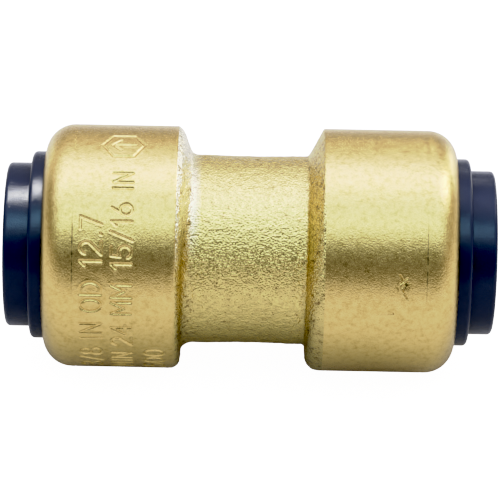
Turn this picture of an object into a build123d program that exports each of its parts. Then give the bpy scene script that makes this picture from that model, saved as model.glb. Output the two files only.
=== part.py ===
"""Straight push fit coupling for 3/8 in nominal tube (12.7 mm outside diameter).

A turned brass forging carries the same cartridge at both ends: O-ring, protector, grab ring, retaining
cap, release collar and tube liner. The cap is locked in by the brass lip rolled over it.

Frame: millimetres, origin on the axis midway between the mouths, +X along the axis, +Z up.
Every profile is drawn for the right-hand end in the XY plane, with X along the axis and Y the radius, and
is revolved about X. The left-hand pieces are mirror images.
"""

import os
from math import asin, degrees

from build123d import *

# ---- Driving dimensions ----
tube_diameter = 12.7
overall_length = 50.0
bell_diameter = 25.0
neck_diameter = 19.4
cap_diameter = 19.3
collar_diameter = 16.9

# ---- Brass body ----
stop_half_width = 1.0
stop_radius = 5.3
socket_radius = tube_diameter / 2 + 0.10
gland_start = 9.2
gland_end = 12.4
gland_radius = 8.6
cavity_radius = 10.8
bell_radius = bell_diameter / 2
neck_radius = neck_diameter / 2
neck_end = 5.7
shoulder_end = 7.6
shoulder_corner_radius = 0.5
neck_fillet_radius = 0.9
lip_centre_x = 18.1
lip_centre_r = 9.5
lip_outer_radius = bell_radius - lip_centre_r
lip_inner_radius = cavity_radius - lip_centre_r
mouth_radius = cap_diameter / 2 + 0.10
lead_chamfer = 0.25

# ---- Gaps ----
seat_gap = 0.05  # between pieces that sit against each other
slide_gap = 0.15  # around the release collar
tube_gap = 0.05  # between the tube and what closes on it
slot_overcut = 1.0  # how far the slot cutters run past what they cut

# ---- O-ring, squeezed as it is round a tube ----
o_ring_inner = tube_diameter / 2 + tube_gap
o_ring_outer = gland_radius - 0.01
o_ring_width = 2.8

# ---- O-ring protector ----
protector_outer = cavity_radius - 0.10
protector_bore = tube_diameter / 2 + 0.65
protector_floor = 0.45
protector_recess_inner = 7.40
protector_recess_outer = 8.95

# ---- Grab ring ----
grab_start = 15.0
grab_thickness = 0.40
grab_outer = cavity_radius - 0.20
grab_root = 8.9
grab_tip = tube_diameter / 2 + tube_gap / 2
grab_lean = 1.4  # how far the teeth lean towards the tube stop
tooth_count = 12
slot_width = 0.70
slot_root = 8.45
slot_root_radius = 0.48

# ---- Retaining cap ----
cap_start = grab_start + grab_thickness + seat_gap
cap_face = 22.45
cap_flange_radius = cavity_radius - 0.10
cap_nose_radius = cap_diameter / 2
cap_arc_radius = cap_flange_radius - lip_centre_r
cap_corner_radius = 0.45
cap_step = 18.6
cap_pocket_radius = 9.45
cap_bore_radius = collar_diameter / 2 + slide_gap
cap_mouth_chamfer = 0.15

# ---- Release collar ----
collar_end = overall_length / 2
collar_radius = collar_diameter / 2
collar_bore = tube_diameter / 2 + 0.15
collar_nose = 15.3
collar_nose_radius = 6.95
collar_flange_start = 17.35
collar_flange_end = cap_step - 0.1
collar_flange_radius = cap_pocket_radius - 0.20
collar_root_radius = 8.2
collar_corner_radius = 0.45
collar_lead = 0.6
finger_slot_count = 4
finger_slot_width = 1.0
finger_slot_end = 19.6

# ---- Tube liner ----
liner_bore = 3.95
liner_radius = 4.5
liner_flange_radius = 6.2
liner_flange_thickness = 1.0
liner_start = stop_half_width + seat_gap
liner_end = 14.9
liner_rib_height = 0.12
liner_rib_width = 0.6
liner_ribs_at = (4.6, 6.6)
liner_rib_root = 0.1  # how deep each rib is sunk into the liner's wall
liner_tip_chamfer = 0.25

# ---- Brass body: one forging with a bell at each end ----
lip_height = mouth_radius - lip_centre_r
lip_outer_angle = degrees(asin(lip_height / lip_outer_radius))
lip_inner_angle = degrees(asin(lip_height / lip_inner_radius))
lip_centre = (lip_centre_x, lip_centre_r)

with BuildPart() as brass_body:
    with BuildSketch(Plane.XY):
        with BuildLine():
            FilletPolyline(
                (0, neck_radius),
                (neck_end, neck_radius),
                (shoulder_end, bell_radius),
                (lip_centre_x, bell_radius),
                radius=[neck_fillet_radius, shoulder_corner_radius],
            )
            lip_outside = CenterArc(lip_centre, lip_outer_radius, lip_outer_angle, 90 - lip_outer_angle)
            lip_inside = CenterArc(lip_centre, lip_inner_radius, lip_inner_angle, 90 - lip_inner_angle)
            Line(lip_outside @ 0, lip_inside @ 0)
            Polyline(
                lip_inside @ 1,
                (gland_end, cavity_radius),
                (gland_end, gland_radius + lead_chamfer),
                (gland_end - lead_chamfer, gland_radius),
                (gland_start, gland_radius),
                (gland_start, socket_radius + lead_chamfer),
                (gland_start - lead_chamfer, socket_radius),
                (stop_half_width, socket_radius),
                (stop_half_width, stop_radius + lead_chamfer),
                (stop_half_width - lead_chamfer, stop_radius),
                (0, stop_radius),
                (0, neck_radius),
            )
        make_face()
        mirror(about=Plane.YZ)
    revolve(axis=Axis.X)

# ---- O-ring: lies in the gland, sealing on the tube ----
with BuildPart() as o_ring:
    with BuildSketch(Plane.XY):
        with Locations(((gland_start + gland_end) / 2, (o_ring_inner + o_ring_outer) / 2)):
            Ellipse(o_ring_width / 2, (o_ring_outer - o_ring_inner) / 2)
    revolve(axis=Axis.X)

# ---- O-ring protector: closes the gland and gives the teeth room to bend ----
protector_start = gland_end + seat_gap
protector_end = grab_start - seat_gap
recess_floor = protector_start + protector_floor

with BuildPart() as o_ring_protector:
    with BuildSketch(Plane.XY):
        with BuildLine():
            Polyline(
                (protector_start, protector_bore),
                (protector_start, protector_outer),
                (protector_end, protector_outer),
                (protector_end, protector_recess_outer),
                (recess_floor, protector_recess_inner),
                (recess_floor, protector_bore),
                close=True,
            )
        make_face()
    revolve(axis=Axis.X)
    chamfer(
        o_ring_protector.edges().filter_by(GeomType.CIRCLE).sort_by(SortBy.RADIUS)[-2:],
        length=0.2,
    )

# ---- Grab ring: a flat stainless rim with slotted teeth leaning towards the tube stop ----
with BuildPart() as grab_ring:
    with BuildSketch(Plane.XY):
        with BuildLine():
            Polyline(
                (grab_start, grab_outer),
                (grab_start + grab_thickness, grab_outer),
                (grab_start + grab_thickness, grab_root),
                (grab_start + grab_thickness - grab_lean, grab_tip),
                (grab_start - grab_lean, grab_tip),
                (grab_start, grab_root),
                close=True,
            )
        make_face()
    revolve(axis=Axis.X)
    with BuildSketch(Plane.YZ.offset(grab_start - grab_lean - slot_overcut)):
        with PolarLocations(0, tooth_count):
            with Locations((slot_root / 2, 0)):
                Rectangle(slot_root, slot_width)
            with Locations((slot_root, 0)):
                Circle(slot_root_radius)
    extrude(amount=grab_lean + grab_thickness + 2 * slot_overcut, mode=Mode.SUBTRACT)

# ---- Retaining cap: held by the rolled lip, it holds the grab ring and the collar ----
cap_arc_angle = degrees(asin((cap_nose_radius - lip_centre_r) / cap_arc_radius))

with BuildPart() as retaining_cap:
    with BuildSketch(Plane.XY):
        with BuildLine():
            cap_arc = CenterArc(lip_centre, cap_arc_radius, cap_arc_angle, 90 - cap_arc_angle)
            FilletPolyline(
                cap_arc @ 0,
                (cap_face, cap_nose_radius),
                (cap_face, cap_bore_radius + cap_mouth_chamfer),
                radius=cap_corner_radius,
            )
            Polyline(
                (cap_face, cap_bore_radius + cap_mouth_chamfer),
                (cap_face - cap_mouth_chamfer, cap_bore_radius),
                (cap_step, cap_bore_radius),
                (cap_step, cap_pocket_radius),
                (cap_start, cap_pocket_radius),
                (cap_start, cap_flange_radius),
                cap_arc @ 1,
            )
        make_face()
    revolve(axis=Axis.X)

# ---- Release collar: slides in the cap, and its nose spreads the teeth ----
with BuildPart() as release_collar:
    with BuildSketch(Plane.XY):
        with BuildLine():
            FilletPolyline(
                (collar_flange_end, collar_radius),
                (collar_end, collar_radius),
                (collar_end, collar_bore + collar_lead),
                radius=collar_corner_radius,
            )
            Polyline(
                (collar_end, collar_bore + collar_lead),
                (collar_end - collar_lead, collar_bore),
                (collar_nose, collar_bore),
                (collar_nose, collar_nose_radius),
                (collar_flange_start, collar_root_radius),
                (collar_flange_start, collar_flange_radius),
                (collar_flange_end, collar_flange_radius),
                (collar_flange_end, collar_radius),
            )
        make_face()
    revolve(axis=Axis.X)
    # Slots part the inner end into spring fingers, so that the flange can snap into the cap.
    with BuildSketch(Plane.YZ.offset(collar_nose - slot_overcut)):
        with PolarLocations(collar_radius, finger_slot_count, start_angle=45):
            Rectangle(2 * (collar_radius - collar_bore + slot_overcut), finger_slot_width)
    extrude(amount=finger_slot_end - collar_nose + slot_overcut, mode=Mode.SUBTRACT)

# ---- Tube liner: stiffens a plastic tube where the O-ring and the teeth squeeze it ----
with BuildPart() as tube_liner:
    with BuildSketch(Plane.XY):
        with BuildLine():
            Polyline(
                (liner_start, liner_bore),
                (liner_start, liner_flange_radius),
                (liner_start + liner_flange_thickness, liner_flange_radius),
                (liner_start + liner_flange_thickness, liner_radius),
                (liner_end - 2 * liner_tip_chamfer, liner_radius),
                (liner_end, liner_radius - liner_tip_chamfer),
                (liner_end, liner_bore),
                close=True,
            )
        make_face()
        for rib_at in liner_ribs_at:
            with BuildLine():
                Polyline(
                    (rib_at - liner_rib_width / 2, liner_radius - liner_rib_root),
                    (rib_at - liner_rib_width / 2, liner_radius + liner_rib_height),
                    (rib_at + liner_rib_width / 2, liner_radius),
                    (rib_at + liner_rib_width / 2, liner_radius - liner_rib_root),
                    close=True,
                )
            make_face()
    revolve(axis=Axis.X)

# ---- Write one STEP per piece ----
os.makedirs("parts", exist_ok=True)

brass_body.part.label = "brass_body"
export_step(brass_body.part, "parts/brass_body.step")

right_hand_pieces = {
    "o_ring": o_ring.part,
    "o_ring_protector": o_ring_protector.part,
    "grab_ring": grab_ring.part,
    "retaining_cap": retaining_cap.part,
    "release_collar": release_collar.part,
    "tube_liner": tube_liner.part,
}

for name, right_piece in right_hand_pieces.items():
    for side, piece in (("right", right_piece), ("left", mirror(right_piece, about=Plane.YZ))):
        piece.label = f"{side}_{name}"
        export_step(piece, f"parts/{side}_{name}.step")
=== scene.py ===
"""Looks of the push fit coupling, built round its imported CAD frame.

Row frame, metres: +X along the axis to the right-hand mouth, +Z up, origin midway between the mouths.
Shapes are written in millimetres as (x, radius) outlines of the right-hand end and turned about X. The
left-hand pieces are mirror images. An angle round the axis starts at -Y and grows towards +Z, so the
camera looks along VIEW_ANGLE.
"""

import math

import bmesh
import bpy
import numpy as np
from mathutils import Matrix, Vector, noise


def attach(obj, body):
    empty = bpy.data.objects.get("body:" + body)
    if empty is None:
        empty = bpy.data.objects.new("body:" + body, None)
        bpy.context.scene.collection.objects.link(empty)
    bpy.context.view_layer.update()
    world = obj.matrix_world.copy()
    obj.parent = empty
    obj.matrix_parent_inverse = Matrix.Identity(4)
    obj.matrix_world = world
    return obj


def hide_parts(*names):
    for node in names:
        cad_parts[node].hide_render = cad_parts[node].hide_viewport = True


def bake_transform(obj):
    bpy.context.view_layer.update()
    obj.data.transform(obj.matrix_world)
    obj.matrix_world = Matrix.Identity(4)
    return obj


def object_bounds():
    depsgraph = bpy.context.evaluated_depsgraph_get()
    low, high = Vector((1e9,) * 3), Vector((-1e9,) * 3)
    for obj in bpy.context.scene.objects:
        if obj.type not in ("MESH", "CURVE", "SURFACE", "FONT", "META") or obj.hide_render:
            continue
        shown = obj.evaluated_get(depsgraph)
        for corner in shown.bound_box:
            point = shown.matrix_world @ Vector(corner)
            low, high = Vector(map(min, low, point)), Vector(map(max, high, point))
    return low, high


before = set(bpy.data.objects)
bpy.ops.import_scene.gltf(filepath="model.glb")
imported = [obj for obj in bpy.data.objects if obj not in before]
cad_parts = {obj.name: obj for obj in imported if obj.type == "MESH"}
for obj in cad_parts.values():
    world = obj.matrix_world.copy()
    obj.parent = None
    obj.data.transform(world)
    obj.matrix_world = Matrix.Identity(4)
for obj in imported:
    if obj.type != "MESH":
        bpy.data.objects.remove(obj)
cad_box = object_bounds()

MM = 0.001
SIDES = (("left", -1), ("right", 1))
VIEW_ANGLE = math.radians(32)  # the camera's elevation

# ---- Sizes of the brass body, in millimetres ----
BELL_RADIUS = cad_box[1].z / MM
NECK_RADIUS = 9.7
CAST_HALF = 7.5  # the shoulders and the neck between the bells are left as cast
SHOULDER_START = 8.0  # the shoulders are shaped from here to the neck
NECK_HALF = 4.4
LIP_CENTRE = (18.1, 9.5)
LIP_OUTER = BELL_RADIUS - LIP_CENTRE[1]
LIP_INNER = 1.3
MOUTH_RADIUS = 9.75
COLUMNS = 360  # round the axis
GRAIN_PITCH = 0.17  # ring spacing where the casting's grain is modelled
DIVIDED_REACH = (0.33, 0.25)  # the mesh is finer this near the marks and this near the scratches
MARK_PITCH = 0.24  # ring spacing where the bell carries marks
CAVITY_RADIUS = 10.8
GLAND_RADIUS = 8.6
SOCKET_RADIUS = 6.45
STOP_RADIUS = 5.3
LINE_AT = 17.72  # a fine line runs round each bell where the lip's rounding starts
EDGE_GROOVE = 0.03  # depth of that line
NECK_WAIST = 0.08  # the neck is this much slimmer in the middle
NECK_OFFSET = 0.10  # how far the casting lies below the axis that the bells are turned on
MARK_STROKE = (0.13, 0.10)  # half width and depth of the marks' strokes
SCRATCH_STROKE = (0.07, 0.09)
BURR_HEIGHT = 0.16  # of the metal pushed up beside a stroke, as a share of its depth
SCUFF_AT = (15.4 * MM, -12.05 * MM, 3.34 * MM)  # grime in the scratches on the right-hand bell

# ---- Sizes of the other pieces, in millimetres ----
CAP_START = 15.45
CAP_STEP = 18.6
CAP_FACE = 22.45
CAP_RADIUS = 9.65
CAP_FLANGE_RADIUS = 10.7
CAP_ARC_RADIUS = CAP_FLANGE_RADIUS - LIP_CENTRE[1]
CAP_POCKET_RADIUS = 9.45
CAP_BORE_RADIUS = 8.6
COLLAR_NOSE = (15.3, 6.95)
COLLAR_FLANGE_START = 17.35
COLLAR_FLANGE_END = 18.5
COLLAR_FLANGE_RADIUS = 9.25
COLLAR_ROOT_RADIUS = 8.2
COLLAR_END = 25.0
COLLAR_RADIUS = 8.45
COLLAR_BORE = 6.5
COLLAR_LEAD = 0.6
FINGER_COUNT = 4
FINGER_SLOT_WIDTH = 1.0
FINGER_SLOT = (14.0, 19.6)  # the cutter's ends
GRAB_START = 15.0
GRAB_THICKNESS = 0.4
GRAB_RADIUS = 10.6
TOOTH_COUNT = 12
TOOTH_ROOT = 8.9
TOOTH_TIP = 6.375
TOOTH_LEAN = 1.4  # how far the teeth lean towards the tube stop
TOOTH_SLOT = (12.6, 16.4)  # the cutter's ends
TOOTH_SLOT_WIDTH = 0.7
TOOTH_SLOT_ROOT = 8.45
TOOTH_SLOT_ROOT_RADIUS = 0.48
SEAL_CENTRE = (10.8, 7.495)
SEAL_HALF_SIZE = (1.4, 1.095)
BACKING_START = 12.45
BACKING_FLOOR = 12.75
BACKING_END = 14.95
BACKING_RADIUS = 10.7
BACKING_BORE = 7.3
BACKING_RECESS = (7.45, 8.95)  # radius at its floor and at its mouth
LINER_START = 1.05
LINER_END = 14.9
LINER_BORE = 3.95
LINER_RADIUS = 4.5
LINER_FLANGE = (1.0, 6.2)  # thickness and radius
LINER_RIBS_AT = (4.6, 6.6)
LINER_RIB = (0.6, 0.12)  # width and height
LINER_TIP = 0.25

# ---- Studio ----
CAMERA_DISTANCE = 0.330
CAMERA_LENS = 230
CAMERA_ROLL = math.radians(1.1)
CAMERA_SHIFT = -0.0034
FLOOR_RADIUS = 1.2
BACKDROP = (1.9, 1.9, 1.9)
FLOOR_GLOW = 2.2  # the floor is lit through from behind where it is seen directly
SKY_STRENGTH = 4.0
# The studio's brightness from the horizon in front, over the top, to the horizon behind, by angle.
SKY = [
    (0, (0.20, 0.20, 0.17)), (28, (0.23, 0.24, 0.26)), (40, (0.38, 0.42, 0.42)), (47, (1.4, 1.70, 1.75)),
    (54, (2.0, 2.40, 2.8)), (61, (1.6, 1.95, 2.4)), (69, (1.0, 1.25, 1.3)), (80, (1.4, 1.7, 2.1)),
    (94, (2.15, 2.25, 2.8)), (114, (2.3, 2.4, 3.3)), (128, (1.35, 1.35, 1.65)), (142, (0.95, 0.90, 0.95)),
    (160, (0.67, 0.64, 0.60)), (180, (0.42, 0.41, 0.42)),
]
# The studio's walls to the left and right, and how far to the side they start and take over.
WALL_SPAN = (0.62, 0.92)
LEFT_WALL = (0.36, 0.35, 0.32)
RIGHT_WALL = (0.55, 0.53, 0.52)
BLACK_LEVEL = 0.03
WHITE_LEVEL = 2.5
# The picture's tone, from light in units of WHITE_LEVEL to display brightness.
TONE = [(0.0, 0.0), (0.24, 0.60), (0.32, 0.70), (0.40, 0.78), (0.58, 0.90), (0.73, 0.96), (1.0, 1.0)]


def smooth_step(t):
    return t * t * (3 - 2 * t)


# ---------------------------------------------------------------- outlines
def arc(centre, radius, start, end, steps):
    """Points (x, r) of an arc from one angle to another, in degrees, both ends included."""
    turns = np.radians(np.linspace(start, end, steps + 1))
    return [(centre[0] + radius * math.cos(t), centre[1] + radius * math.sin(t)) for t in turns]


def rounded(corners, closed=True):
    """The outline through corners (x, r) or (x, r, rounding), with each rounding drawn as an arc."""
    points = []
    count = len(corners)
    for i, corner in enumerate(corners):
        here = Vector(corner[:2])
        radius = corner[2] if len(corner) > 2 else 0
        if radius == 0 or (not closed and i in (0, count - 1)):
            points.append(tuple(here))
            continue
        back = (Vector(corners[i - 1][:2]) - here).normalized()
        ahead = (Vector(corners[(i + 1) % count][:2]) - here).normalized()
        half = back.angle(ahead) / 2
        middle = here + (back + ahead).normalized() * radius / math.sin(half)
        first = here + back * radius / math.tan(half) - middle
        last = here + ahead * radius / math.tan(half) - middle
        steps = max(2, round(math.degrees(first.angle(last)) / 12))
        for k in range(steps + 1):
            points.append(tuple(middle + first.slerp(last, k / steps) * radius))
    return points


def resampled(points, count):
    """The open outline as count points, evenly spaced along it."""
    points = np.array(points)
    along = np.append(0, np.cumsum(np.linalg.norm(np.diff(points, axis=0), axis=1)))
    at = np.linspace(0, along[-1], count)
    return np.column_stack([np.interp(at, along, points[:, k]) for k in (0, 1)])


def mirrored(points):
    """The same outline at the other end, walked the other way."""
    return [(-x, r) for x, r in reversed(points)]


# ---------------------------------------------------------------- meshes
def turned(name, outline, columns=240):
    """A closed outline turned about X. The outline is one list of points, or one such list per column."""
    rings = np.array(outline, float)
    if rings.ndim == 2:
        rings = np.repeat(rings[None], columns, axis=0)
    columns, count = rings.shape[:2]
    angles = np.arange(columns) * 2 * math.pi / columns
    x, r = rings[..., 0], rings[..., 1]
    points = np.stack([x, -r * np.cos(angles)[:, None], r * np.sin(angles)[:, None]], axis=-1)
    index = np.arange(columns * count).reshape(columns, count)
    ahead = np.roll(index, -1, axis=0)
    faces = np.stack([index, ahead, np.roll(ahead, -1, axis=1), np.roll(index, -1, axis=1)], axis=-1)
    mesh = bpy.data.meshes.new(name)
    mesh.from_pydata((points.reshape(-1, 3) * MM).tolist(), [], faces.reshape(-1, 4).tolist())
    obj = bpy.data.objects.new(name, mesh)
    bpy.context.scene.collection.objects.link(obj)
    face_outwards(mesh)
    return obj


def face_outwards(mesh):
    bm = bmesh.new()
    bm.from_mesh(mesh)
    bmesh.ops.recalc_face_normals(bm, faces=bm.faces)
    bm.to_mesh(mesh)
    bm.free()


def shade(obj, sharp_angle=35):
    obj.data.shade_smooth()
    obj.data.set_sharp_from_angle(angle=math.radians(sharp_angle))


def cut(obj, cutters):
    """Takes the cutters out of obj."""
    for cutter in cutters:
        modifier = obj.modifiers.new("cut", "BOOLEAN")
        modifier.operation = "DIFFERENCE"
        modifier.solver = "EXACT"
        modifier.object = cutter
    evaluated = obj.evaluated_get(bpy.context.evaluated_depsgraph_get())
    mesh = bpy.data.meshes.new_from_object(evaluated)
    obj.modifiers.clear()
    obj.data = mesh
    for cutter in cutters:
        bpy.data.objects.remove(cutter)


def radial_cutter(outline, turn, x_range):
    """A prism along X. The outline is (across, out) in mm, seen from the right and turned about the axis."""
    bm = bmesh.new()
    ends = [[bm.verts.new((x * MM, across * MM, out * MM)) for across, out in outline] for x in x_range]
    bm.faces.new(ends[0])
    bm.faces.new(ends[1])
    for i in range(len(outline)):
        j = (i + 1) % len(outline)
        bm.faces.new((ends[0][i], ends[0][j], ends[1][j], ends[1][i]))
    bmesh.ops.recalc_face_normals(bm, faces=bm.faces)
    bmesh.ops.rotate(bm, verts=bm.verts, cent=(0, 0, 0), matrix=Matrix.Rotation(turn, 3, "X"))
    mesh = bpy.data.meshes.new("cutter")
    bm.to_mesh(mesh)
    bm.free()
    obj = bpy.data.objects.new("cutter", mesh)
    bpy.context.scene.collection.objects.link(obj)
    return obj


def points_of(mesh):
    co = np.empty(len(mesh.vertices) * 3)
    mesh.vertices.foreach_get("co", co)
    return co.reshape(-1, 3)


def stand_in(obj, node, body, material):
    """obj is shown in place of the CAD node, moves with its body and takes the material."""
    obj.data.materials.append(material)
    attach(obj, body)
    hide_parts(node)


# ---------------------------------------------------------------- materials
class Nodes:
    """A node tree, with short calls to add and join nodes."""

    def __init__(self, tree):
        self.tree = tree

    def add(self, kind, inputs=(), **settings):
        node = self.tree.nodes.new(kind)
        for key, value in settings.items():
            setattr(node, key, value)
        for key, value in dict(inputs).items():
            self.feed(node.inputs[key], value)
        return node

    def feed(self, socket, value):
        if isinstance(value, bpy.types.NodeSocket):
            self.tree.links.new(value, socket)
        else:
            socket.default_value = value

    def ramp(self, value, *stops):
        """The colour for the value, between stops (position, colour)."""
        node = self.add("ShaderNodeValToRGB", {"Fac": value})
        elements = node.color_ramp.elements
        while len(elements) < len(stops):
            elements.new(0.5)
        for element, (position, colour) in zip(elements, stops):
            element.position = position
            element.color = (*colour, 1)
        return node.outputs["Color"]

    def span(self, value, low, high, to_low=0.0, to_high=1.0, **settings):
        """The value carried from low..high to to_low..to_high, and held there beyond them."""
        inputs = {"Value": value, "From Min": low, "From Max": high, "To Min": to_low, "To Max": to_high}
        return self.add("ShaderNodeMapRange", inputs, **settings).outputs["Result"]

    def maths(self, operation, *values):
        return self.add("ShaderNodeMath", dict(enumerate(values)), operation=operation).outputs["Value"]

    def mixed(self, share, first, second):
        """The first colour, with that share of the second."""
        return self.add("ShaderNodeMix", {0: share, 6: first, 7: second}, data_type="RGBA").outputs[2]

    def axes(self, vector):
        return self.add("ShaderNodeSeparateXYZ", {"Vector": vector}).outputs


class Skin(Nodes):
    """A material's node tree. Its textures lie in object coordinates."""

    def __init__(self, name):
        self.material = bpy.data.materials.new(name)
        self.material.use_nodes = True
        super().__init__(self.material.node_tree)
        self.shader = self.tree.nodes["Principled BSDF"]
        self.place = self.add("ShaderNodeTexCoord").outputs["Object"]

    def noise(self, per_mm, detail=2.0, roughness=0.5, place=None):
        """Noise with about per_mm cells in a millimetre."""
        inputs = {"Vector": place or self.place, "Scale": per_mm / MM}
        inputs |= {"Detail": detail, "Roughness": roughness}
        return self.add("ShaderNodeTexNoise", inputs).outputs["Fac"]

    def stretched(self, x, y, z):
        """Object coordinates scaled along each axis, for noise that runs in streaks."""
        return self.add("ShaderNodeMapping", {"Vector": self.place, "Scale": (x, y, z)}).outputs["Vector"]

    def bumped(self, height, distance, under=None):
        """A bump of that height in millimetres, laid over another bump."""
        inputs = {"Height": height, "Distance": distance * MM}
        if under:
            inputs["Normal"] = under
        return self.add("ShaderNodeBump", inputs).outputs["Normal"]

    def finish(self, colour, roughness, normal):
        """Joins the colour, roughness and bump to the shader."""
        self.feed(self.shader.inputs["Base Color"], colour)
        self.feed(self.shader.inputs["Roughness"], roughness)
        self.feed(self.shader.inputs["Normal"], normal)
        return self.material


def turned_brass():
    """Brass from the lathe: satin, with light stains, painted shade in a stretch of the fine lines and dirt
    in the scratches.
    """
    n = Skin("brass_turned")
    streaks = n.noise(6.0, detail=3, place=n.stretched(1, 0.06, 0.06))
    mottle = n.noise(1.8, detail=6, roughness=0.75)
    fine = n.noise(6.0, detail=3, roughness=0.6)
    place = n.axes(n.place)

    # Painted shade darkens a stretch of each fine line, on the side that faces up and forwards.
    off_line = n.maths("ABSOLUTE", n.maths("SUBTRACT", n.maths("ABSOLUTE", place["X"]), LINE_AT * MM))
    off_stretch = n.maths("ABSOLUTE", n.maths("SUBTRACT", place["Z"], 5.5 * MM))
    groove_shade = n.maths("MULTIPLY", n.span(off_line, 0.03 * MM, 0.12 * MM, 1.0, 0.0),
                    n.span(off_stretch, 1.5 * MM, 4.0 * MM, 1.0, 0.0))
    to_scuff = n.add("ShaderNodeVectorMath", {0: n.place, 1: SCUFF_AT}, operation="DISTANCE")
    specks = n.span(n.noise(4.0, detail=3, place=n.stretched(1, 1, 0.6)), 0.47, 0.56)
    scuff = n.maths("MULTIPLY", n.span(to_scuff.outputs["Value"], 0.3 * MM, 1.2 * MM, 0.29, 0.0), specks)

    # The colour is the stains, less the painted shade in the fine lines and the dirt in the scratches.
    stains_and_shade = n.maths("SUBTRACT", n.maths("SUBTRACT", mottle, n.maths("MULTIPLY", groove_shade, 0.30)), scuff)
    colour = n.ramp(stains_and_shade, (0.15, (0.08, 0.06, 0.02)), (0.36, (0.58, 0.425, 0.15)),
                    (0.50, (0.71, 0.53, 0.205)), (0.68, (0.76, 0.58, 0.24)))
    waves = n.bumped(n.noise(0.35, detail=2), 0.025)
    dents = n.bumped(n.noise(1.3, detail=2), 0.008, under=waves)
    lathe = n.bumped(streaks, 0.013, under=dents)
    # The painted shade also makes the fine lines less metallic.
    n.feed(n.shader.inputs["Metallic"], n.maths("SUBTRACT", 1.0, n.maths("MULTIPLY", groove_shade, 0.5)))
    return n.finish(colour, n.span(mottle, 0.3, 0.7, 0.17, 0.26), n.bumped(fine, 0.034, under=lathe))


def cast_brass():
    """Brass as it left the mould: grainy all over, with pitted shoulders.

    The left-hand shoulder has a painted highlight on top, the right-hand one painted shade at its foot, and
    the pitting is darker low down as painted shade.
    """
    n = Skin("brass_cast")
    grain = n.noise(5.2, detail=0.8)
    blotches = n.noise(1.9, detail=4, roughness=0.75)
    place = n.axes(n.place)
    on_shoulder = n.span(n.maths("ABSOLUTE", place["X"]), 5.0 * MM, 6.2 * MM)

    # The pitting is real; that it darkens more towards the bottom is painted shade.
    pits_and_painted_shade = n.maths("MULTIPLY", on_shoulder, n.span(place["Z"], -8 * MM, 5 * MM, 0.09, 0.06))
    skin = n.maths("SUBTRACT", blotches, pits_and_painted_shade)
    plain = n.ramp(skin, (0.30, (0.22, 0.15, 0.06)), (0.39, (0.67, 0.53, 0.21)), (0.70, (0.83, 0.68, 0.26)))

    # Painted highlight: the top of the left-hand shoulder is mixed towards pale brass, between the pitting.
    to_left = n.span(place["X"], -3 * MM, 3 * MM, 1.0, 0.0)
    to_top = n.span(place["Z"], 4 * MM, 8 * MM, 0.0, 0.9)
    pale = n.maths("MULTIPLY", on_shoulder, n.maths("MULTIPLY", to_left, to_top))
    between_pits = n.span(skin, 0.30, 0.42)
    with_painted_highlight = n.mixed(n.maths("MULTIPLY", pale, between_pits), plain, (0.96, 0.90, 0.66, 1))

    # Painted shade: the foot of the right-hand shoulder is mixed towards dark brown.
    to_right = n.span(place["X"], -3 * MM, 3 * MM)
    to_foot = n.span(place["Z"], 3 * MM, -3 * MM, 0.0, 0.35)
    painted_foot_shade = n.maths("MULTIPLY", on_shoulder, n.maths("MULTIPLY", to_right, to_foot))
    colour = n.mixed(painted_foot_shade, with_painted_highlight, (0.30, 0.24, 0.11, 1))
    n.feed(n.shader.inputs["Metallic"], 1.0)
    return n.finish(colour, n.span(grain, 0.3, 0.7, 0.17, 0.26), n.bumped(grain, 0.12))


def moulded_plastic(name, dark, light, roughness, grain=0.004, specular=0.5):
    n = Skin(name)
    cloud = n.noise(0.5, detail=3)
    fine = n.noise(9.0, detail=3)
    n.feed(n.shader.inputs["Specular IOR Level"], specular)
    return n.finish(n.ramp(cloud, (0.3, dark), (0.75, light)),
                    n.span(fine, 0.3, 0.7, roughness - 0.05, roughness + 0.06), n.bumped(fine, grain))


def rubber():
    n = Skin("rubber")
    fine = n.noise(6.0, detail=4)
    return n.finish(n.ramp(fine, (0.3, (0.010, 0.010, 0.011)), (0.8, (0.028, 0.028, 0.030))),
                    n.span(fine, 0.3, 0.7, 0.38, 0.52), n.bumped(fine, 0.004))


def spring_steel():
    n = Skin("spring_steel")
    rolled = n.noise(12.0, detail=3, place=n.stretched(0.1, 1, 0.08))
    n.feed(n.shader.inputs["Metallic"], 1.0)
    return n.finish(n.ramp(rolled, (0.3, (0.50, 0.50, 0.51)), (0.8, (0.66, 0.66, 0.66))),
                    n.span(rolled, 0.3, 0.7, 0.22, 0.36), n.bumped(rolled, 0.002))


# ---------------------------------------------------------------- brass body
def shoulder(corners):
    """One shoulder's outline from the bell to the neck, as cast at one place round the axis."""
    length = SHOULDER_START - NECK_HALF + BELL_RADIUS - NECK_RADIUS
    outline = rounded([(SHOULDER_START, BELL_RADIUS), *corners, (NECK_HALF, NECK_RADIUS)], closed=False)
    return resampled(outline, round(length / GRAIN_PITCH))


def stations(start, end, pitch, radius):
    """Points along a straight stretch at one radius, about pitch apart, both ends included."""
    count = round(abs(end - start) / pitch) + 1
    return [(x, radius) for x in np.linspace(start, end, count)]


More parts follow.
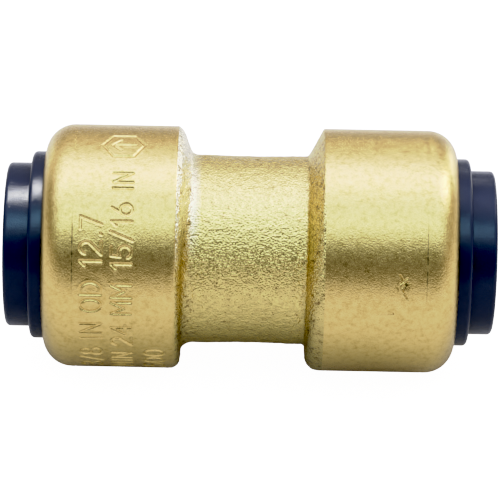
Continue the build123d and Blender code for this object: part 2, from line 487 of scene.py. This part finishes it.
def body_outlines():
    """The brass body's outline for each column. The casting's shoulders change from top to bottom."""
    left_top = shoulder([(7.5, BELL_RADIUS, 0.12), (6.95, 12.0, 0.9), (6.05, NECK_RADIUS, 0.8)])
    left_bottom = shoulder([(7.05, BELL_RADIUS, 0.95), (7.05, NECK_RADIUS, 1.15)])
    right_top = shoulder([(7.4, BELL_RADIUS, 0.15), (5.85, NECK_RADIUS, 0.45)])
    right_bottom = shoulder([(5.8, BELL_RADIUS, 1.65), (5.8, NECK_RADIUS, 0.4)])

    lip_height = MOUTH_RADIUS - LIP_CENTRE[1]
    mouth = math.degrees(math.asin(lip_height / LIP_OUTER))
    inner_mouth = math.degrees(math.asin(lip_height / LIP_INNER))
    lip = arc(LIP_CENTRE, LIP_OUTER, mouth, 90, 12)
    edge = [(17.82, BELL_RADIUS), (17.74, BELL_RADIUS - EDGE_GROOVE), (17.6, BELL_RADIUS - EDGE_GROOVE / 3)]
    left_bell = stations(17.4, SHOULDER_START + MARK_PITCH, MARK_PITCH, BELL_RADIUS)
    right_bell = [(17.3, BELL_RADIUS), *stations(16.8, 14.4, MARK_PITCH, BELL_RADIUS),
                  *stations(12.5, SHOULDER_START + MARK_PITCH, 1.5, BELL_RADIUS)]
    neck = stations(NECK_HALF - GRAIN_PITCH, GRAIN_PITCH - NECK_HALF, GRAIN_PITCH, NECK_RADIUS)
    neck = [(x, r - NECK_WAIST * (1 - (x / NECK_HALF) ** 2)) for x, r in neck]
    inside = arc(LIP_CENTRE, LIP_INNER, inner_mouth, 90, 5) + rounded([
        (12.4, CAVITY_RADIUS), (12.4, GLAND_RADIUS, 0.25), (9.2, GLAND_RADIUS), (9.2, SOCKET_RADIUS, 0.25),
        (1.0, SOCKET_RADIUS), (1.0, STOP_RADIUS, 0.25), (0, STOP_RADIUS),
    ], closed=False)

    outlines = []
    for column in range(COLUMNS):
        turn = 2 * math.pi * column / COLUMNS - VIEW_ANGLE
        low = smooth_step(0.5 - 0.5 * math.sin(turn))
        right = [*lip, *edge, *right_bell, *(right_top * (1 - low) + right_bottom * low)]
        left = [*lip, *edge, *left_bell, *(left_top * (1 - low) + left_bottom * low)]
        outlines.append([*right, *neck, *mirrored(left), *mirrored(inside[::-1]), *inside[-2::-1]])
    return outlines


def polar(points):
    """x, the angle from the camera's side, and the radius of points in metres, the lengths in mm."""
    x, y, z = (points / MM).T
    turn = np.arctan2(z, -y) - VIEW_ANGLE
    return x, (turn + math.pi) % (2 * math.pi) - math.pi, np.hypot(y, z)


# ---- Marks on the left-hand bell: sizes only ----
def bow(centre, size, start, end, steps=10):
    """Points along part of an upright ellipse, from one angle to another, in degrees."""
    turns = np.radians(np.linspace(start, end, steps + 1))
    return [(centre[0] + size[0] * math.cos(t), centre[1] + size[1] * math.sin(t)) for t in turns]


# Each character's pen strokes, one unit high, and how far the pen moves on.
GLYPHS = {
    "0": ([bow((0.3, 0.5), (0.3, 0.5), 0, 360, 18)], 0.85),
    "1": ([[(0.06, 0.78), (0.28, 1), (0.28, 0)]], 0.60),
    "2": ([bow((0.3, 0.7), (0.28, 0.3), 165, -35) + [(0, 0), (0.6, 0)]], 0.85),
    "3": ([bow((0.28, 0.75), (0.26, 0.25), 150, -90), bow((0.28, 0.26), (0.31, 0.26), 90, -150)], 0.85),
    "4": ([[(0.45, 0), (0.45, 1), (0, 0.3), (0.62, 0.3)]], 0.85),
    "5": ([[(0.55, 1), (0.1, 1), (0.06, 0.56)] + bow((0.27, 0.32), (0.31, 0.32), 120, -150)], 0.85),
    "6": ([bow((0.3, 0.3), (0.29, 0.3), 0, 360, 14), [(0.03, 0.4), (0.4, 1)]], 0.85),
    "7": ([[(0, 1), (0.6, 1), (0.22, 0)]], 0.85),
    "8": ([bow((0.3, 0.76), (0.24, 0.24), 0, 360, 12), bow((0.3, 0.26), (0.3, 0.26), 0, 360, 12)], 0.85),
    "/": ([[(0, -0.05), (0.45, 1.05)]], 0.70),
    ".": ([[(0.08, 0), (0.12, 0.03)]], 0.35),
    "D": ([[(0, 0), (0, 1)] + bow((0.15, 0.5), (0.45, 0.5), 90, -90) + [(0, 0)]], 0.85),
    "I": ([[(0.1, 0), (0.1, 1)]], 0.45),
    "M": ([[(0, 0), (0, 1), (0.33, 0.35), (0.66, 1), (0.66, 0)]], 0.95),
    "N": ([[(0, 0), (0, 1), (0.55, 0), (0.55, 1)]], 0.80),
    "O": ([bow((0.32, 0.5), (0.32, 0.5), 0, 360, 18)], 0.90),
    " ": ([], 0.50),
}


def written(text, foot, start, height):
    """Strokes, as (x, way round), of text that climbs round the bell from start, with its feet at foot."""
    strokes = []
    pen = start
    for character in text:
        shapes, advance = GLYPHS[character]
        strokes += [[(foot - v * height, pen + u * height) for u, v in shape] for shape in shapes]
        pen += advance * height
    return strokes


def direction_mark(x, way_round, size):
    """A hexagon with an arrow in it that points at the mouth, as strokes."""
    corners = np.radians(range(0, 361, 60))
    hexagon = [(x + size * math.cos(t), way_round + size * math.sin(t)) for t in corners]
    tip, tail, barb = x - size * 0.55, x + size * 0.55, size * 0.42
    arrow = [(tip + barb, way_round + barb), (tip, way_round), (tip + barb, way_round - barb)]
    return [hexagon, arrow, [(tip, way_round), (tail, way_round)]]


MARKS = [
    *written("3/8 IN OD 12.7", foot=-14.8, start=-16.8, height=2.12),
    *written("MIN 24 MM 15/16 IN", foot=-11.8, start=-17.0, height=2.0),
    *written("0.500", foot=-8.5, start=-19.6, height=2.05),
    *direction_mark(x=-12.9, way_round=11.9, size=2.1),
]
SCRATCHES = [
    [(15.0, -2.4), (15.45, -3.2)],
    [(15.05, -3.3), (15.75, -2.7)],
    [(15.2, -3.7), (15.8, -3.1)],
    [(15.3, -4.0), (15.6, -4.35)],
    [(15.45, -4.3), (15.85, -4.95)],
    [(14.4, -6.5), (14.44, -6.55)],
]


def distance_to(strokes, x, way_round):
    """Each point's distance to the nearest stroke, in mm on the unrolled bell."""
    nearest = np.full(len(x), 1e9)
    points = np.column_stack([x, way_round])
    for stroke in strokes:
        for start, end in zip(np.array(stroke), np.array(stroke[1:])):
            run = end - start
            along = np.clip((points - start) @ run / (run @ run), 0, 1)
            nearest = np.minimum(nearest, np.linalg.norm(points - start - along[:, None] * run, axis=1))
    return nearest


def refine(obj, strokes, reach):
    """Divides the faces within reach of the strokes into a finer grid."""
    bm = bmesh.new()
    bm.from_mesh(obj.data)
    middles = np.array([face.calc_center_median() for face in bm.faces])
    x, turn, radius = polar(middles)
    near = (radius > BELL_RADIUS - 0.1) & (distance_to(strokes, x, turn * BELL_RADIUS) < reach)
    bm.faces.ensure_lookup_table()
    edges = {edge for index in np.flatnonzero(near) for edge in bm.faces[index].edges}
    bmesh.ops.subdivide_edges(bm, edges=list(edges), cuts=3, use_grid_fill=True)
    bm.to_mesh(obj.data)
    bm.free()


def roughen_and_mark(obj):
    """Gives the casting its grain, the bells their marks and scratches, and the neck its small offset."""
    mesh = obj.data
    points = points_of(mesh)
    x, turn, radius = polar(points)
    outside = radius > NECK_RADIUS - 0.2
    bell = outside & (np.abs(x) > CAST_HALF) & (np.abs(x) < LIP_CENTRE[0]) & (radius > BELL_RADIUS - 0.02)
    cast = outside & (np.abs(x) < CAST_HALF - 0.05)
    radius[bell] = BELL_RADIUS  # divided faces are flat, so their points go back on the round

    normals = np.empty(len(points) * 3)
    mesh.vertices.foreach_get("normal", normals)
    normals = normals.reshape(-1, 3)
    rise = np.zeros(len(points))
    for index in np.flatnonzero(cast):
        spot = Vector(points[index] / MM)
        rise[index] = 0.045 * noise.noise(spot * 2.9) + 0.020 * noise.noise(spot * 1.3)
        rise[index] += 0.030 * noise.noise(spot * 0.45)
    way_round = turn * BELL_RADIUS
    near = np.flatnonzero(bell)
    for strokes, (half_width, depth) in ((MARKS, MARK_STROKE), (SCRATCHES, SCRATCH_STROKE)):
        away = distance_to(strokes, x[near], way_round[near]) / half_width
        groove = smooth_step(np.clip(1.35 - away, 0, 1))
        burr = np.exp(-((away - 1.9) / 0.6) ** 2)
        rise[near] -= depth * (groove - BURR_HEIGHT * burr)

    flat = np.column_stack([np.zeros(len(points)), -np.cos(turn + VIEW_ANGLE), np.sin(turn + VIEW_ANGLE)])
    moved = np.where(bell[:, None], flat * (radius * MM)[:, None], points)
    moved[bell, 0] = points[bell, 0]
    moved += normals * (rise * MM)[:, None]
    sunk = smooth_step(np.clip((CAST_HALF - 0.3 - np.abs(x)) / 0.8, 0, 1)) * cast * NECK_OFFSET * MM
    moved[:, 1] -= sunk * math.sin(VIEW_ANGLE)
    moved[:, 2] -= sunk * math.cos(VIEW_ANGLE)
    mesh.vertices.foreach_set("co", moved.ravel())
    mesh.update()


def finish_zones(obj, cast_material):
    """The casting's own skin shows on the shoulders and the neck. The rest is turned."""
    obj.data.materials.append(cast_material)
    middles = np.empty(len(obj.data.polygons) * 3)
    obj.data.polygons.foreach_get("center", middles)
    x, _, radius = polar(middles.reshape(-1, 3))
    cast = (np.abs(x) < CAST_HALF) & (radius > NECK_RADIUS - 0.3)
    obj.data.polygons.foreach_set("material_index", cast.astype(np.int32))


# ---------------------------------------------------------------- pieces
def make_body():
    body = turned("body_casting", body_outlines())
    refine(body, MARKS, DIVIDED_REACH[0])
    refine(body, SCRATCHES, DIVIDED_REACH[1])
    roughen_and_mark(body)
    shade(body, 50)
    stand_in(body, "brass_body", "fitting_body", turned_brass())
    finish_zones(body, cast_brass())


def make_cap(side, sign, material):
    arc_end = math.degrees(math.asin((CAP_RADIUS - LIP_CENTRE[1]) / CAP_ARC_RADIUS))
    outline = rounded([
        (CAP_FACE, CAP_RADIUS, 0.45), (CAP_FACE, CAP_BORE_RADIUS, 0.15), (CAP_STEP, CAP_BORE_RADIUS, 0.05),
        (CAP_STEP, CAP_POCKET_RADIUS, 0.1), (CAP_START, CAP_POCKET_RADIUS, 0.1),
        (CAP_START, CAP_FLANGE_RADIUS, 0.15), *arc(LIP_CENTRE, CAP_ARC_RADIUS, 90, arc_end, 7),
    ])
    cap = turned(f"{side}_cap_ring", [(sign * x, r) for x, r in outline])
    shade(cap)
    stand_in(cap, f"{side}_retaining_cap", "fitting_body", material)
    return cap


def make_collar(side, sign, material):
    outline = rounded([
        (COLLAR_END, COLLAR_RADIUS, 0.45), (COLLAR_END, COLLAR_BORE + COLLAR_LEAD, 0.12),
        (COLLAR_END - COLLAR_LEAD, COLLAR_BORE, 0.2), (COLLAR_NOSE[0], COLLAR_BORE, 0.12),
        (*COLLAR_NOSE, 0.15), (COLLAR_FLANGE_START, COLLAR_ROOT_RADIUS, 0.1),
        (COLLAR_FLANGE_START, COLLAR_FLANGE_RADIUS, 0.12), (COLLAR_FLANGE_END, COLLAR_FLANGE_RADIUS, 0.12),
        (COLLAR_FLANGE_END, COLLAR_RADIUS, 0.1),
    ])
    collar = turned(f"{side}_collar_sleeve", [(sign * x, r) for x, r in outline])
    half = FINGER_SLOT_WIDTH / 2
    slot = [(-half, 5.0), (half, 5.0), (half, 11.0), (-half, 11.0)]
    ends = [sign * x for x in FINGER_SLOT]
    turns = [math.radians(45 + 360 / FINGER_COUNT * k) for k in range(FINGER_COUNT)]
    cut(collar, [radial_cutter(slot, turn, ends) for turn in turns])
    shade(collar)
    stand_in(collar, f"{side}_release_collar", f"{side}_release_collar", material)
    return collar


def make_grab_ring(side, sign, material):
    corners = [
        (GRAB_START, GRAB_RADIUS), (GRAB_START + GRAB_THICKNESS, GRAB_RADIUS),
        (GRAB_START + GRAB_THICKNESS, TOOTH_ROOT), (GRAB_START + GRAB_THICKNESS - TOOTH_LEAN, TOOTH_TIP),
        (GRAB_START - TOOTH_LEAN, TOOTH_TIP), (GRAB_START, TOOTH_ROOT),
    ]
    outline = rounded([(*corner, 0.06) for corner in corners])
    ring = turned(f"{side}_tooth_ring", [(sign * x, r) for x, r in outline])

    # Each slot between two teeth ends in a round hole.
    half, hole = TOOTH_SLOT_WIDTH / 2, TOOTH_SLOT_ROOT_RADIUS
    neck_turn = math.asin(half / hole)
    round_hole = [(hole * math.sin(t), TOOTH_SLOT_ROOT - hole * math.cos(t))
                  for t in np.linspace(neck_turn, 2 * math.pi - neck_turn, 17)]
    keyhole = [(half, 5.0), *round_hole, (-half, 5.0)]
    ends = [sign * x for x in TOOTH_SLOT]
    turns = [2 * math.pi / TOOTH_COUNT * k for k in range(TOOTH_COUNT)]
    cut(ring, [radial_cutter(keyhole, turn, ends) for turn in turns])
    shade(ring)
    ring.data.materials.append(material)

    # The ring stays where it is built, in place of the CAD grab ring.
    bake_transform(ring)
    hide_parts(f"{side}_grab_ring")


def make_o_ring(side, sign, material):
    outline = bow(SEAL_CENTRE, SEAL_HALF_SIZE, 0, 360, 36)[:-1]
    ring = turned(f"{side}_seal_ring", [(sign * x, r) for x, r in outline])
    shade(ring)
    stand_in(ring, f"{side}_o_ring", "fitting_body", material)


def make_protector(side, sign, material):
    floor_radius, mouth_radius = BACKING_RECESS
    outline = rounded([
        (BACKING_START, BACKING_BORE, 0.1), (BACKING_START, BACKING_RADIUS, 0.2),
        (BACKING_END, BACKING_RADIUS, 0.2), (BACKING_END, mouth_radius, 0.08),
        (BACKING_FLOOR, floor_radius, 0.05), (BACKING_FLOOR, BACKING_BORE, 0.05),
    ])
    ring = turned(f"{side}_backing_ring", [(sign * x, r) for x, r in outline])
    shade(ring)
    stand_in(ring, f"{side}_o_ring_protector", "fitting_body", material)


def make_liner(side, sign, material):
    thickness, flange_radius = LINER_FLANGE
    width, height = LINER_RIB
    ribs = []
    for at in LINER_RIBS_AT:
        steep, tail = at - width / 2, at + width / 2
        ribs += [(steep, LINER_RADIUS), (steep, LINER_RADIUS + height), (tail, LINER_RADIUS)]
    outline = rounded([
        (LINER_START, LINER_BORE, 0.1), (LINER_START, flange_radius, 0.15),
        (LINER_START + thickness, flange_radius, 0.15), (LINER_START + thickness, LINER_RADIUS, 0.1), *ribs,
        (LINER_END - 2 * LINER_TIP, LINER_RADIUS, 0.3), (LINER_END, LINER_RADIUS - LINER_TIP, 0.1),
        (LINER_END, LINER_BORE, 0.08),
    ])
    liner = turned(f"{side}_liner_sleeve", [(sign * x, r) for x, r in outline])
    shade(liner)
    stand_in(liner, f"{side}_tube_liner", f"{side}_tube_liner", material)


# ---------------------------------------------------------------- studio
def make_floor():
    bm = bmesh.new()
    bmesh.ops.create_circle(bm, cap_ends=True, segments=128, radius=FLOOR_RADIUS)
    bmesh.ops.translate(bm, verts=bm.verts, vec=(0, 0, cad_box[0].z))
    mesh = bpy.data.meshes.new("floor")
    bm.to_mesh(mesh)
    bm.free()
    floor = bpy.data.objects.new("floor", mesh)
    bpy.context.scene.collection.objects.link(floor)
    n = Skin("floor_paper")
    away = n.add("ShaderNodeVectorMath", {0: n.stretched(1 / 3, 1, 0)}, operation="LENGTH").outputs["Value"]
    # Painted shadow: the floor is a little darker close under the object.
    paper_with_painted_shadow = n.ramp(n.span(away, 5 * MM, 18 * MM), (0.0, (0.60, 0.56, 0.50)), (1.0, (0.74, 0.69, 0.63)))
    n.feed(n.shader.inputs["Base Color"], paper_with_painted_shadow)
    n.feed(n.shader.inputs["Roughness"], 0.9)
    n.feed(n.shader.inputs["Specular IOR Level"], 0.0)
    n.feed(n.shader.inputs["Emission Color"], (1, 1, 1, 1))
    seen = n.add("ShaderNodeLightPath").outputs["Is Camera Ray"]
    n.feed(n.shader.inputs["Emission Strength"], n.maths("MULTIPLY", seen, FLOOR_GLOW))
    floor.data.materials.append(n.material)


def make_world():
    """A studio in the round: a big soft source overhead, a dim room in front and pale walls behind."""
    world = bpy.data.worlds.new("studio")
    bpy.context.scene.world = world
    world.use_nodes = True
    world.node_tree.nodes.clear()
    n = Nodes(world.node_tree)
    direction = n.axes(n.add("ShaderNodeTexCoord").outputs["Generated"])

    def dimmed(colour):
        return tuple(c / SKY_STRENGTH for c in colour)

    climb = n.maths("ARCTAN2", direction["Z"], n.maths("MULTIPLY", direction["Y"], -1.0))
    dome = n.ramp(n.span(climb, 0.0, math.pi), *((angle / 180, dimmed(colour)) for angle, colour in SKY))
    walls = n.ramp(n.span(direction["X"], -1.0, 1.0), (0.0, dimmed(LEFT_WALL)), (1.0, dimmed(RIGHT_WALL)))
    aside = n.maths("ABSOLUTE", direction["X"])
    to_wall = n.span(aside, *WALL_SPAN, interpolation_type="SMOOTHSTEP")
    room = n.mixed(to_wall, dome, walls)
    studio = n.add("ShaderNodeBackground", {"Color": room, "Strength": SKY_STRENGTH})
    backdrop = n.add("ShaderNodeBackground", {"Color": (*BACKDROP, 1)})
    seen = n.add("ShaderNodeLightPath").outputs["Is Camera Ray"]
    both = n.add("ShaderNodeMixShader", {0: seen, 1: studio.outputs[0], 2: backdrop.outputs[0]})
    n.add("ShaderNodeOutputWorld", {"Surface": both.outputs[0]})


def set_tone():
    """A contrasty studio picture: deep blacks, and highlights that roll off before they turn white."""
    view = bpy.context.scene.view_settings
    view.view_transform = "Standard"
    view.use_curve_mapping = True
    mapping = view.curve_mapping
    mapping.black_level = (BLACK_LEVEL,) * 3
    mapping.white_level = (WHITE_LEVEL,) * 3
    points = mapping.curves[3].points
    for place in TONE[1:-1]:
        points.new(*place)
    for point in points:
        point.handle_type = "VECTOR"
    mapping.update()


def make_softbox(name, place, size, radiance, colour=(1, 1, 1), only=()):
    """A softbox at a place in metres, facing the object. With only, it just glints on those objects."""
    light = bpy.data.lights.new(name, "AREA")
    light.shape = "RECTANGLE"
    light.size, light.size_y = size
    light.energy = radiance * math.pi * size[0] * size[1]
    light.color = colour
    lamp = bpy.data.objects.new(name, light)
    lamp.location = place
    lamp.rotation_euler = Vector(place).to_track_quat("Z", "Y").to_euler()
    lamp.visible_camera = False
    bpy.context.scene.collection.objects.link(lamp)
    if only:
        lamp.visible_diffuse = False
        lit = bpy.data.collections.new(name)
        for obj in only:
            lit.objects.link(obj)
        lamp.light_linking.receiver_collection = lit


def make_camera():
    camera = bpy.data.objects.new("camera", bpy.data.cameras.new("camera"))
    bpy.context.scene.collection.objects.link(camera)
    camera.data.lens = CAMERA_LENS
    back = Vector((0, -math.cos(VIEW_ANGLE), math.sin(VIEW_ANGLE)))
    facing = (-back).to_track_quat("-Z", "Y").to_matrix().to_4x4()
    roll = Matrix.Rotation(CAMERA_ROLL, 4, "Z")
    camera.matrix_world = Matrix.Translation(back * CAMERA_DISTANCE) @ facing @ roll
    camera.data.shift_y = CAMERA_SHIFT
    camera.data.clip_start = 0.01
    camera.data.clip_end = 10
    bpy.context.scene.camera = camera


navy = moulded_plastic("plastic_navy", (0.017, 0.022, 0.042), (0.020, 0.026, 0.050), 0.115,
                       grain=0.022, specular=0.22)
natural = moulded_plastic("plastic_natural", (0.70, 0.67, 0.58), (0.80, 0.77, 0.69), 0.42)
white = moulded_plastic("plastic_white", (0.80, 0.80, 0.77), (0.88, 0.88, 0.86), 0.40)
black_rubber = rubber()
steel = spring_steel()

make_camera()
make_floor()
make_world()
make_softbox("right_softbox", (0.37, 0.17, 0.29), (0.20, 0.16), 3.4)
make_softbox("low_softbox", (0.36, 0.41, 0.06), (0.16, 0.14), 3.2)
make_softbox("left_softbox", (-0.36, 0.41, 0.06), (0.16, 0.14), 1.0)
make_softbox("back_lamp", (0.09, 0.50, 0.26), (0.04, 0.04), 8.0)
make_body()
mouldings = []
for side, sign in SIDES:
    mouldings += [make_cap(side, sign, navy), make_collar(side, sign, navy)]
    make_grab_ring(side, sign, steel)
    make_o_ring(side, sign, black_rubber)
    make_protector(side, sign, natural)
    make_liner(side, sign, white)
make_softbox("plastic_strip", (-0.09, 0.11, 0.43), (0.12, 0.060), 112.0, only=mouldings)
make_softbox("plastic_fill", (-0.02, -0.20, 0.40), (0.24, 0.05), 24.0, (0.35, 0.72, 1.0), mouldings)

set_tone()
